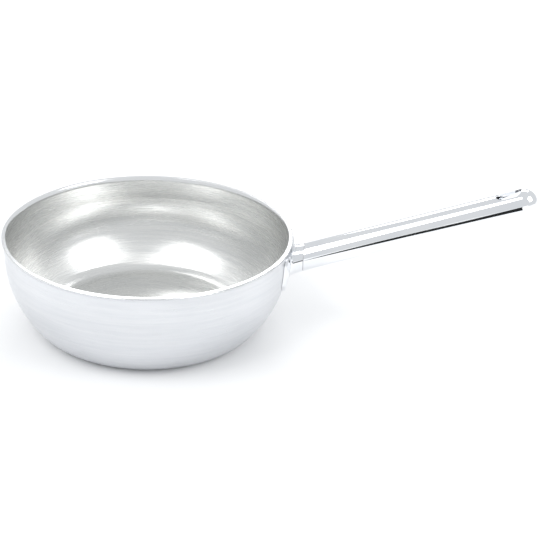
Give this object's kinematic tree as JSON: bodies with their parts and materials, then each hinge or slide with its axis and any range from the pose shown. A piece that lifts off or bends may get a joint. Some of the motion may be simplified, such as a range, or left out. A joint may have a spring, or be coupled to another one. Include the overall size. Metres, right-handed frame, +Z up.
{
  "type": "saucier pan",
  "caption": "Five ply stainless saucier pan with curved sides, a pouring rim and a welded tube handle with a hanging slot.",
  "frame": {"origin": "on the pan's axis, on the underside of the flat base", "axes": "+Z up along the pan's axis, +X level towards the handle, which rises in the XZ plane"},
  "size_m": [0.4048, 0.2264, 0.1317],
  "materials": {
    "satin_steel": "fine satin, brushed around the pan",
    "brushed_steel": "brushed around the pan, rim polished",
    "polished_steel": "mirror polish",
    "weld_steel": "as welded, dull",
    "core_aluminium": "mill finish",
    "bond_aluminium": "mill finish"
  },
  "bodies": {
    "root": {"outer_shell": "satin_steel", "outer_bond_ply": "bond_aluminium", "aluminium_core": "core_aluminium", "inner_bond_ply": "bond_aluminium", "inner_lining": "brushed_steel", "spot_welds": "weld_steel", "saddle_plate": "polished_steel", "neck_fillet_weld": "polished_steel", "neck": "polished_steel", "seam_weld": "weld_steel", "handle_tube": "polished_steel", "bulkhead": "weld_steel"}
  },
  "joints": []
}
